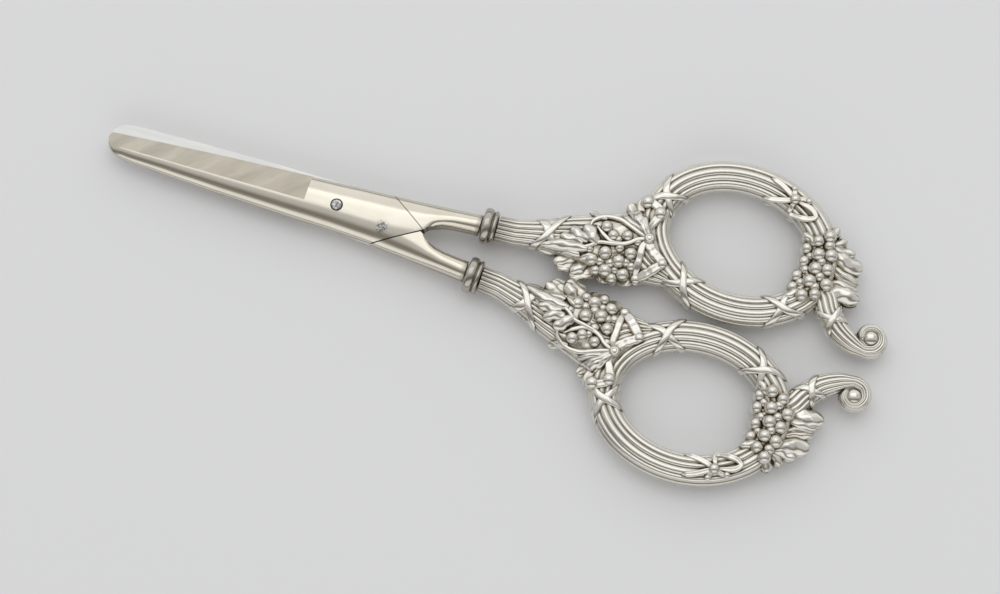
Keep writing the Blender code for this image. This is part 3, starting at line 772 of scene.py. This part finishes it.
chased_silver = silver_finish("chased_silver", 0.13, -0.17)
frosted_silver = silver_finish("frosted_silver", 0.22, -0.04)


def silvered(piece, name):
    """The piece under its name, smoothed and with its silver."""
    smooth(piece, 42.0)
    piece.name = piece.data.name = name
    piece.data.materials.clear()
    piece.data.materials.append(frosted_silver if "bunch" in name else chased_silver)
    return piece


def whole_on_handles(piece, name, *nodes):
    """A piece that goes all through the upper handle, and its mirror image on the lower."""
    upper = silvered(piece, f"upper_{name}")
    lower = mirrored(upper, f"lower_{name}", (1.0, -1.0, 1.0))
    attach(upper, "upper_half", [f"upper_{node}" for node in nodes])
    attach(lower, "lower_half", [f"lower_{node}" for node in nodes])


def faces_on_handles(piece, name, *nodes):
    """A casting on the front of the handle, its twin on the back, and both again below."""
    first = silvered(piece, f"upper_front_{name}")
    for half, across in (("upper", 1.0), ("lower", -1.0)):
        for face, through in (("front", 1.0), ("back", -1.0)):
            copy = first
            if across < 0.0 or through < 0.0:
                copy = mirrored(first, f"{half}_{face}_{name}", (1.0, across, through))
            attach(copy, f"{half}_half", [f"{half}_{face}_{node}" for node in nodes])


def pitch_finish():
    """Hard black pitch, with a skin of brown dust and fine cracks."""
    pitch = Finish("old_pitch")
    dust = pitch.noise(600.0, 5.0)
    tone = pitch.ramp(dust, (0.35, (0.018, 0.013, 0.010)), (0.7, (0.07, 0.05, 0.035)))
    return pitch.shade(tone, 0.0, pitch.ramp(dust, (0.35, 0.28), (0.7, 0.6)), (dust, 0.3, 0.00005))


old_pitch = pitch_finish()
for half in ("upper", "lower"):
    for holder in bpy.data.objects[f"{half}_filling"].material_slots:
        holder.material = old_pitch
for piece in shell_pieces:
    whole_on_handles(piece, piece.name, "front_shell", "back_shell")
for piece in tie_pieces:
    whole_on_handles(piece, piece.name)


# Collars. Each is a silver ring with a wide and a narrow bead, turned on the lathe and
# soldered over the joint of shank and stem, where brown stain has gathered.
collar_middle = np.array((34.0, 5.9)) * MM
collar_length = 3.3 * MM
collar_tilt = math.radians(2.5)
collar_half_width = 4.2 * MM
collar_half_height = 3.65 * MM
collar_profile = (
    (0.0, 0.60), (0.0, 0.78), (0.02, 0.86), (0.05, 0.925), (0.10, 0.965), (0.17, 0.99), (0.25, 1.0),
    (0.38, 1.0), (0.48, 0.985), (0.56, 0.95), (0.61, 0.90), (0.645, 0.85), (0.665, 0.83), (0.69, 0.83),
    (0.71, 0.86), (0.74, 0.905), (0.79, 0.93), (0.85, 0.935), (0.91, 0.92), (0.96, 0.88), (1.0, 0.80),
    (1.0, 0.60),
)


def collar_skin():
    """Oval rings of the profile's widths, set along the tilted collar."""
    turn = np.linspace(0.0, math.tau, 97)
    along = np.array((math.cos(collar_tilt), math.sin(collar_tilt)))
    across = np.array((-along[1], along[0]))
    rows = []
    for reach, width in collar_profile:
        middle = collar_middle + (reach - 0.5) * collar_length * along
        spot = middle + across * (collar_half_width * width * np.cos(turn))[:, None]
        rows.append(np.column_stack((spot, collar_half_height * width * np.sin(turn))))
    return wrap_grid("collar", np.array(rows))


whole_on_handles(collar_skin(), "beaded_collar", "collar")


# Vine leaves on the stems. Each is cast with its lobes as puffed tongues, veined, and
# soldered close on the reeds, its point towards the collar.


def front_level(x, y):
    """Height of the plain handle front above the parting plane at places, without its reeds."""
    x, y = np.broadcast_arrays(np.asarray(x, float), np.asarray(y, float))
    middle = np.interp(x, stem.line[:, 0], stem.line[:, 1])
    wide = np.interp(x, stem.line[:, 0], stem.half_width)
    high = np.interp(x, stem.line[:, 0], stem.half_height)
    off = np.clip(np.abs(y - middle) / wide, 0.0, 1.0)
    on_stem = (x < stem.line[-1, 0]) & (x > stem.line[0, 0])
    stem_top = high * (1.0 - off ** shell_squareness) ** (1.0 / shell_squareness) * on_stem
    gaps = np.hypot(x[..., None] - ring.line[:, 0], y[..., None] - ring.line[:, 1]).min(axis=-1)
    off = np.clip(gaps / ring_half_width, 0.0, 1.0)
    ring_top = ring_half_height * (1.0 - off ** shell_squareness) ** (1.0 / shell_squareness)
    return np.maximum(stem_top, ring_top)


casting_top = 4.3 * MM
soft_top = 0.22 * MM
dent_length, dent_width, dent_depth = 3.4 * MM, 2.8 * MM, 0.08 * MM


def under_top(level):
    """Level held below the castings' greatest height, as if worn down there."""
    return casting_top - soft_top * np.logaddexp(0.0, (casting_top - level) / soft_top)


def tongue(foot, tip, half_width, bulge, lift, point, vein, fold=0.12, sink=0.5 * MM, level=None,
           phase=0.0):
    """Puffed lobe from its foot to its tip, with a soft middle vein and uneven swellings. A low
    point makes a blunt tip, and a level takes the place of the handle's own height below it."""
    foot, tip = np.array(foot) * MM, np.array(tip) * MM
    half_width, bulge, lift = half_width * MM, bulge * MM, lift * MM
    along = np.linspace(0.0, 1.0, 40)[:, None]
    side = np.linspace(-1.0, 1.0, 31)[None, :]
    reach = tip - foot
    unit = np.array((-reach[1], reach[0])) / np.linalg.norm(reach)
    widest = np.clip(0.14 + 0.86 * along, 0.0, 1.0) ** 1.35
    breadth = half_width * np.sin(math.pi * widest) ** point
    breadth = breadth * (1.0 + 0.07 * np.sin(math.tau * 2.3 * along + phase + 1.5 * np.sign(side)))
    breadth = np.maximum(breadth, 0.02 * MM)
    drift = 0.12 * half_width * np.sin(math.tau * 0.8 * along + phase)
    x = foot[0] + along * reach[0] + (drift + side * breadth) * unit[0]
    y = foot[1] + along * reach[1] + (drift + side * breadth) * unit[1]
    swell = np.sin(math.pi * np.clip(0.2 + 0.7 * along, 0.0, 1.0)) ** 0.6
    crease = np.exp(-((side - 0.15 * np.sin(3.0 * along + phase)) / 0.16) ** 2)
    waves = 0.5 + 0.5 * np.cos(math.tau * 1.15 * along + phase + 1.3 * side)
    dome = (1.0 - np.abs(side) ** 2.2) ** 0.7
    puff = bulge * swell * dome * (1.0 - vein * crease - fold * waves)
    dents = np.sin(math.tau * x / dent_length + phase) * np.sin(math.tau * y / dent_width + 2.0 * phase)
    puff = puff + dent_depth * dome * dents
    base = front_level(x, y) if level is None else np.full(x.shape, level * MM)
    top = under_top(base + lift + puff)
    under = np.minimum(base - sink, top - 0.3 * MM)
    low = top - (top - under) * np.clip(0.25 + 0.5 * (1.0 + np.cos(math.pi * side)), 0.0, 1.0)
    upper_rows = np.stack((x, y, top), axis=-1)
    lower_rows = np.stack((x, y, low), axis=-1)
    return wrap_grid("tongue", np.concatenate((upper_rows, lower_rows[:, -2::-1]), axis=1))


leaf_tongues = (
    ((62.5, 7.2), (48.4, 5.6), 3.7, 0.45, -0.2, 0.5, 0.0),
    ((56.4, 7.3), (45.9, 4.3), 1.75, 1.3, 0.15, 0.42, 0.0, 0.08),
    ((55.2, 7.9), (49.9, 8.4), 1.4, 1.2, 0.15, 0.34, 0.0, 0.2),
    ((56.2, 8.8), (51.7, 10.6), 1.45, 1.4, 0.2, 0.3, 0.0, 0.25),
    ((58.6, 8.9), (54.5, 12.1), 1.65, 1.45, 0.2, 0.3, 0.0, 0.25),
    ((55.2, 5.4), (50.0, 2.7), 1.7, 1.45, 0.15, 0.3, 0.0, 0.25),
    ((58.0, 5.7), (54.3, 1.2), 1.75, 1.5, 0.15, 0.3, 0.0, 0.25),
    ((56.4, 4.2), (51.0, 1.9), 1.8, 0.9, -0.9, 0.34, 0.0, 0.2),
    ((59.6, 3.6), (54.4, 0.6), 1.8, 0.9, -0.9, 0.34, 0.0, 0.2),
    ((62.2, 6.0), (61.0, 1.4), 2.4, 0.7, -0.9, 0.38, 0.05),
    ((66.0, 6.0), (66.4, 2.0), 2.2, 0.7, -0.9, 0.38, 0.05),
    ((58.8, 15.0), (54.5, 15.9), 0.9, 0.9, 0.1, 0.4, 0.1),
    ((57.0, 13.6), (67.8, 13.3), 2.3, 0.35, -0.2, 0.45, 0.0),
)
leaf = join([tongue(*shape, phase=1.7 * index) for index, shape in enumerate(leaf_tongues)], "leaf")
faces_on_handles(leaf, "vine_leaf", "leaf")


# Grapes. The bunches are cast solid in silver, each grape nearly a full ball, and soldered
# over the reeds: one on each stem below the leaf, one at each ring's far end. A fourth number
# is how far a grape lies below the top ones.
bunch_places = (
    (58.1, 5.3, 1.55), (60.6, 7.6, 1.65), (61.7, 3.9, 1.75), (64.0, 6.6, 1.6), (66.1, 9.0, 1.5),
    (65.7, 4.2, 1.65), (61.2, 11.8, 1.4), (64.3, 12.6, 1.35), (59.3, 13.2, 1.45), (63.4, 9.6, 1.3, 0.6),
    (59.6, 3.3, 1.3, 0.7), (67.0, 6.4, 1.2, 0.6), (57.0, 7.3, 1.1, 0.3), (66.9, 12.0, 1.2, 0.5),
    (60.0, 5.5, 1.25, 0.6), (62.3, 5.8, 1.3, 0.6), (63.8, 4.6, 1.15, 0.7), (65.6, 6.9, 1.2, 0.5),
    (62.6, 11.2, 1.15, 0.5), (63.6, 2.6, 1.3, 1.0),
)
cluster_places = (
    (103.4, 22.3, 1.5), (105.3, 24.3, 1.42), (107.5, 26.0, 1.55), (103.6, 19.2, 1.5), (106.2, 21.4, 1.62),
    (108.9, 21.9, 1.6), (102.9, 15.6, 1.5), (106.4, 18.1, 1.62), (109.0, 18.6, 1.58), (102.7, 12.8, 1.45),
    (105.9, 15.0, 1.65), (109.7, 15.3, 1.6), (105.1, 11.4, 1.55), (107.8, 12.4, 1.4),
    (108.0, 24.0, 1.3, 0.3), (104.4, 17.4, 1.3, 0.4), (107.8, 16.6, 1.3, 0.4), (107.3, 19.9, 1.2, 0.4),
    (104.6, 20.7, 1.15, 0.4), (104.1, 14.2, 1.2, 0.4), (107.4, 14.0, 1.2, 0.4),
)


def ball(x, y, level, size, flat=1.0, rotation=(0.0, 0.0, 0.0)):
    """Ball on the handle, its middle at a level above the parting plane."""
    start_clean()
    bpy.ops.mesh.primitive_uv_sphere_add(segments=28, ring_count=18, radius=size,
                                         location=(x, y, parting + level), rotation=rotation,
                                         scale=(1.0, 1.0, flat))
    bpy.ops.object.transform_apply(location=True, rotation=True, scale=True)
    return bpy.context.object


def grapes(places):
    """Balls as high as the castings' top lets them be, each turned its own way."""
    stand, least = 0.1 * MM, 1.3 * MM
    balls = []
    for index, (x, y, size, *lower) in enumerate(places):
        x, y, size = x * MM, y * MM, size * MM
        highest = casting_top - size - (0.1 + 0.1 * math.sin(2.4 * index)) * MM
        level = max(min(float(front_level(x, y)) + stand, highest) - sum(lower) * MM, least)
        turn = (0.4 * math.sin(index), 0.5 * math.cos(1.7 * index), 0.0)
        balls.append(ball(x, y, level, size, rotation=turn))
    return balls


bunch_bed = tongue((56.6, 6.8), (69.0, 7.4), 4.6, 0.2, -0.35, 0.4, 0.0, 0.3)
faces_on_handles(join([bunch_bed, *grapes(bunch_places)], "bunch"), "stem_bunch", "grapes")
faces_on_handles(join(grapes(cluster_places), "bunch"), "ring_bunch", "end_grapes")


# Ribbon bows and tendrils. Each bow is a cast silver ribbon with rolled edges, bent into loops
# about a round knot, and soldered where the stem meets the ring, with a smaller one on the
# ring. The vine's tendrils are thin silver wire laid over leaf and grapes.


def ribbon(points, width, height, lift=0.1, groove=0.22, taper=(0.55, 0.55), waves=0.0, phase=0.0):
    """Flat ribbon with rounded edges and a shallow middle groove, laid over the handle's front."""
    width, height = width * MM, height * MM
    places = curve_through(points, 90) * MM
    run = run_along(places)
    share = run / run[-1]
    level = follow(np.stack((share, front_level(places[:, 0], places[:, 1])), axis=1), share, 0.03)
    level = np.maximum(level, 0.45 * ring_half_height) + lift * MM
    level = level + 0.16 * waves * width * np.sin(5.0 * math.tau * share + phase)
    ends = 1.0
    for end_taper, from_end in zip(taper, (share, 1.0 - share)):
        ends = ends - (1.0 - end_taper) * np.exp(-(from_end / 0.12) ** 2)
    ends = ends * (1.0 + waves * np.sin(3.0 * math.tau * share + phase))
    turn = np.linspace(0.0, math.tau, 25)
    dip = groove * height * np.exp(-(np.cos(turn) / 0.35) ** 2) * (np.sin(turn) > 0.0)
    rows = []
    for place, across, high, end in zip(places, left_of(places), level, ends):
        offset = 0.5 * width * end * powered(np.cos(turn), 0.75)
        rise = height * end * powered(np.sin(turn), 0.75) - dip
        rows.append(np.column_stack((place[0] + across[0] * offset, place[1] + across[1] * offset,
                                     under_top(high + rise))))
    return wrap_grid("ribbon", np.array(rows))


def bead(x, y, size, flat=0.8, stand=0.5):
    """Round knot or rolled corner with a flattened top."""
    x, y, size = x * MM, y * MM, size * MM
    level = min(float(front_level(x, y)) + stand * MM, casting_top - flat * size)
    return ball(x, y, level, size, flat)


def knot_rim(x, y, radius, thickness):
    """The rolled edge round a knot's hollow top."""
    start_clean()
    level = parting + casting_top - (thickness + 0.02) * MM
    bpy.ops.mesh.primitive_torus_add(major_segments=32, minor_segments=12, major_radius=radius * MM,
                                     minor_radius=thickness * MM, location=(x * MM, y * MM, level))
    bpy.ops.object.transform_apply(location=True)
    return bpy.context.object


bow_parts = [
    tongue((69.0, 13.8), (63.4, 19.2), 1.6, 1.3, 0.1, 0.4, 0.1, 0.1, phase=2.0),
    tongue((67.4, 15.9), (62.4, 20.2), 1.75, 1.4, 0.2, 0.32, 0.12, 0.2, phase=0.7),
    tongue((67.6, 14.4), (61.7, 17.2), 1.0, 1.1, 0.0, 0.42, 0.0, 0.1, phase=4.0),
    ribbon(((68.6, 14.0), (67.3, 15.6), (66.2, 17.8), (65.4, 19.8), (65.3, 21.1), (66.4, 21.8),
            (67.8, 21.4), (69.3, 20.6), (70.0, 19.4), (69.3, 17.7), (68.6, 15.8), (69.0, 14.2)),
           2.1, 0.75, groove=0.2, waves=0.06),
    bead(66.4, 21.5, 1.5, 0.8, 0.7),
    bead(64.9, 20.7, 1.1, 0.8, 0.3),
    bead(69.8, 19.7, 1.5, 0.8, 0.7),
    ribbon(((68.9, 13.2), (68.2, 11.4), (68.2, 9.4), (68.3, 7.4), (68.4, 5.4), (68.7, 4.1)),
           1.7, 0.7, groove=0.15, waves=0.05, phase=1.0),
    ribbon(((68.6, 4.0), (70.6, 5.5), (72.2, 7.2), (73.5, 8.7)),
           2.3, 0.75, 0.1, 0.2, (0.85, 0.85), 0.04, 2.0),
    ribbon(((73.6, 8.9), (72.4, 9.7), (70.9, 10.7), (69.6, 12.0), (69.2, 13.2)),
           2.3, 0.75, 0.1, 0.2, (0.85, 0.6), 0.05),
    bead(68.8, 4.1, 1.15, 0.6, 0.55),
    bead(73.5, 8.8, 1.1, 0.6, 0.4),
    bead(69.15, 13.4, 1.3, 0.7, 0.9),
    knot_rim(69.15, 13.4, 0.72, 0.3),
]
faces_on_handles(join(bow_parts, "bow"), "root_bow", "bow")

small_bow_parts = [
    ribbon(((98.0, 31.4), (97.3, 29.8), (97.4, 28.6), (99.2, 28.2), (101.6, 28.3), (103.1, 29.2),
            (102.4, 30.3), (101.0, 31.0), (99.4, 31.3), (98.2, 31.6)), 1.35, 0.6, 0.2, waves=0.1),
    ribbon(((97.4, 31.6), (95.2, 30.9), (92.9, 30.5), (90.6, 30.4)), 1.4, 0.5, taper=(0.8, 0.3)),
    ribbon(((97.3, 32.1), (95.6, 33.2), (93.6, 34.3), (91.3, 35.1)), 1.4, 0.5, taper=(0.8, 0.3)),
    ribbon(((97.7, 32.1), (97.2, 33.2), (96.9, 34.1)), 1.2, 0.5, taper=(0.8, 0.9)),
    ribbon(((98.2, 32.0), (99.6, 32.4), (100.9, 32.3)), 1.2, 0.5, taper=(0.8, 0.9)),
    bead(97.7, 31.8, 1.15, 0.75, 0.5),
    bead(96.9, 34.1, 0.72, 0.8, 0.25),
    bead(100.8, 32.3, 0.8, 0.8, 0.35),
]
faces_on_handles(join(small_bow_parts, "bow"), "ring_bow", "small_bow")

tendril_parts = [
    ribbon(((55.7, 12.2), (56.0, 13.7), (57.4, 15.0), (59.5, 15.7), (62.0, 15.7), (64.5, 14.8),
            (66.9, 13.9), (68.6, 13.4)), 1.1, 0.5, 0.4, 0.0, (0.4, 0.8)),
    ribbon(((57.3, 12.6), (59.2, 11.2), (61.3, 10.2), (63.6, 10.4), (65.3, 11.3), (66.6, 12.4),
            (68.4, 13.2)), 1.0, 0.5, 0.5, 0.1, (0.4, 0.9)),
    ribbon(((54.6, 6.9), (56.6, 7.7), (58.6, 9.2), (61.0, 9.7), (63.4, 10.2)),
           0.9, 0.45, 0.7, 0.0, (0.4, 0.8)),
]
faces_on_handles(join(tendril_parts, "tendrils"), "tendrils")


# Leaves at the rings' far ends. Cast in one piece for front and back, with folded lobes that
# stand out past the ring, and soldered behind the grapes.
end_leaf_tongues = (
    ((107.4, 22.4), (116.7, 21.2), 2.3, 1.9, 0.3, 0.3, 0.0, 0.3),
    ((108.2, 23.4), (114.2, 24.1), 1.5, 1.6, 0.5, 0.34, 0.0, 0.25),
    ((109.0, 19.9), (116.5, 17.4), 1.85, 1.6, 0.0, 0.34, 0.3, 0.0),
    ((108.4, 14.5), (118.0, 14.2), 2.35, 1.9, 0.2, 0.3, 0.0, 0.3),
    ((109.0, 16.2), (116.8, 16.3), 1.4, 1.5, 0.2, 0.34, 0.0, 0.2),
    ((107.8, 24.8), (108.7, 28.9), 1.4, 1.5, 0.6, 0.42, 0.0, 0.1),
    ((108.6, 24.2), (111.6, 26.6), 1.3, 1.4, 0.4, 0.42, 0.0, 0.1),
    ((104.8, 23.2), (101.7, 25.3), 1.1, 1.2, 1.6, 0.42, 0.0, 0.1),
    ((104.4, 12.2), (101.5, 10.0), 1.1, 1.2, 1.6, 0.42, 0.0, 0.1),
)
end_lobes = [tongue(*shape, level=0.6, sink=1.5 * MM, phase=1.3 * index)
             for index, shape in enumerate(end_leaf_tongues)]
front_leaf = join(end_lobes, "end_leaf")
back_leaf = mirrored(front_leaf, "back_leaf", (1.0, 1.0, -1.0))
whole_on_handles(join([front_leaf, back_leaf], "leaf"), "far_leaf", "end_leaf")


# Camera, lamp, floor and backdrop. The camera looks down on the shears from the near side,
# square to a long axis that is turned clockwise. The floor is a pale, cool sheet, one large
# softbox hangs above it, and the room's walls show in the silver as light and dark bands.
metres_per_pixel = 0.2235 * MM
pivot_pixel = (336.2, 206.4)
photo_pixels = (1000, 594)
axis_turn = math.atan(0.3146)
camera_tilt = math.radians(11.0)
camera_distance = 620.0 * MM
film_width = 36.0
floor_level = parting - casting_top - 0.02 * MM

above = np.array((0.0, 0.0, 1.0))
right = np.array((math.cos(axis_turn), math.sin(axis_turn), 0.0))
north = np.array((-math.sin(axis_turn), math.cos(axis_turn), 0.0))
across, down = (metres_per_pixel * (0.5 * size - pixel) for size, pixel in zip(photo_pixels, pivot_pixel))
aim = parting * above + across * right - down / math.cos(camera_tilt) * north


def set_up(name, data, side, top, back, distance):
    """Put a camera or lamp at a distance from the aim point, looking at it."""
    thing = bpy.data.objects.new(name, data)
    bpy.context.scene.collection.objects.link(thing)
    rows = np.column_stack((side, top, back, aim + distance * back))
    thing.matrix_world = Matrix([*rows.tolist(), (0.0, 0.0, 0.0, 1.0)])
    return thing


optics = bpy.data.cameras.new("photo_camera")
optics.sensor_width = film_width
optics.lens = film_width * camera_distance / (photo_pixels[0] * metres_per_pixel)
optics.clip_start = 0.01
camera_top = math.cos(camera_tilt) * north + math.sin(camera_tilt) * above
camera_back = math.cos(camera_tilt) * above - math.sin(camera_tilt) * north
bpy.context.scene.camera = set_up("photo_camera", optics, right, camera_top, camera_back, camera_distance)

softbox = bpy.data.lights.new("overhead_softbox", 'AREA')
softbox.shape = 'RECTANGLE'
softbox.size = 1.0
softbox.size_y = 0.6
softbox.energy = 1.22
lamp_back = 0.34 * north + 0.94 * above
lamp_distance = np.linalg.norm(lamp_back)
lamp_back = lamp_back / lamp_distance
lamp_side = np.cross(north, lamp_back)
lamp_side = lamp_side / np.linalg.norm(lamp_side)
set_up("overhead_softbox", softbox, lamp_side, np.cross(lamp_back, lamp_side), lamp_back, lamp_distance)

start_clean()
bpy.ops.mesh.primitive_plane_add(size=3.0, location=(aim[0], aim[1], floor_level))
floor = bpy.context.object
floor.name = "floor"
sheet = Finish("pale_floor")
floor.data.materials.append(sheet.shade((0.937, 0.944, 0.957, 1.0), 0.0, 0.9))
sheet.feed(sheet.tree.nodes["Principled BSDF"], {"Specular IOR Level": 0.1})

world = bpy.data.worlds.new("studio")
world.use_nodes = True
bpy.context.scene.world = world
room = Nodes(world.node_tree)
look = room.coordinates("Generated")
lean = room.add("ShaderNodeVectorMath", {0: look, 1: (north[0], north[1], 0.0)}, operation='DOT_PRODUCT')
along_north = room.number('MULTIPLY_ADD', lean.outputs["Value"], 0.5, 0.5)
warmth = 0.84
dark_wall = [(place, (glow, glow * warmth ** 0.5, glow * warmth))
             for place, glow in ((0.235, 0.22), (0.32, 0.17))]
near_wall = ((0.0, 0.92), (0.15, 0.84))
far_wall = ((0.43, 0.50), (0.63, 0.52), (0.8, 0.78), (1.0, 0.86))
walls = room.ramp(along_north, *near_wall, *dark_wall, *far_wall, shape='EASE')
height = {"Value": room.axes(look)["Z"], "From Max": 0.3, "To Min": 0.2, "To Max": 1.16}
brightness = room.add("ShaderNodeMapRange", height, interpolation_type='SMOOTHSTEP').outputs["Result"]
room.feed(room.tree.nodes["Background"], {"Color": walls, "Strength": brightness})

bpy.context.scene.view_settings.view_transform = 'Standard'
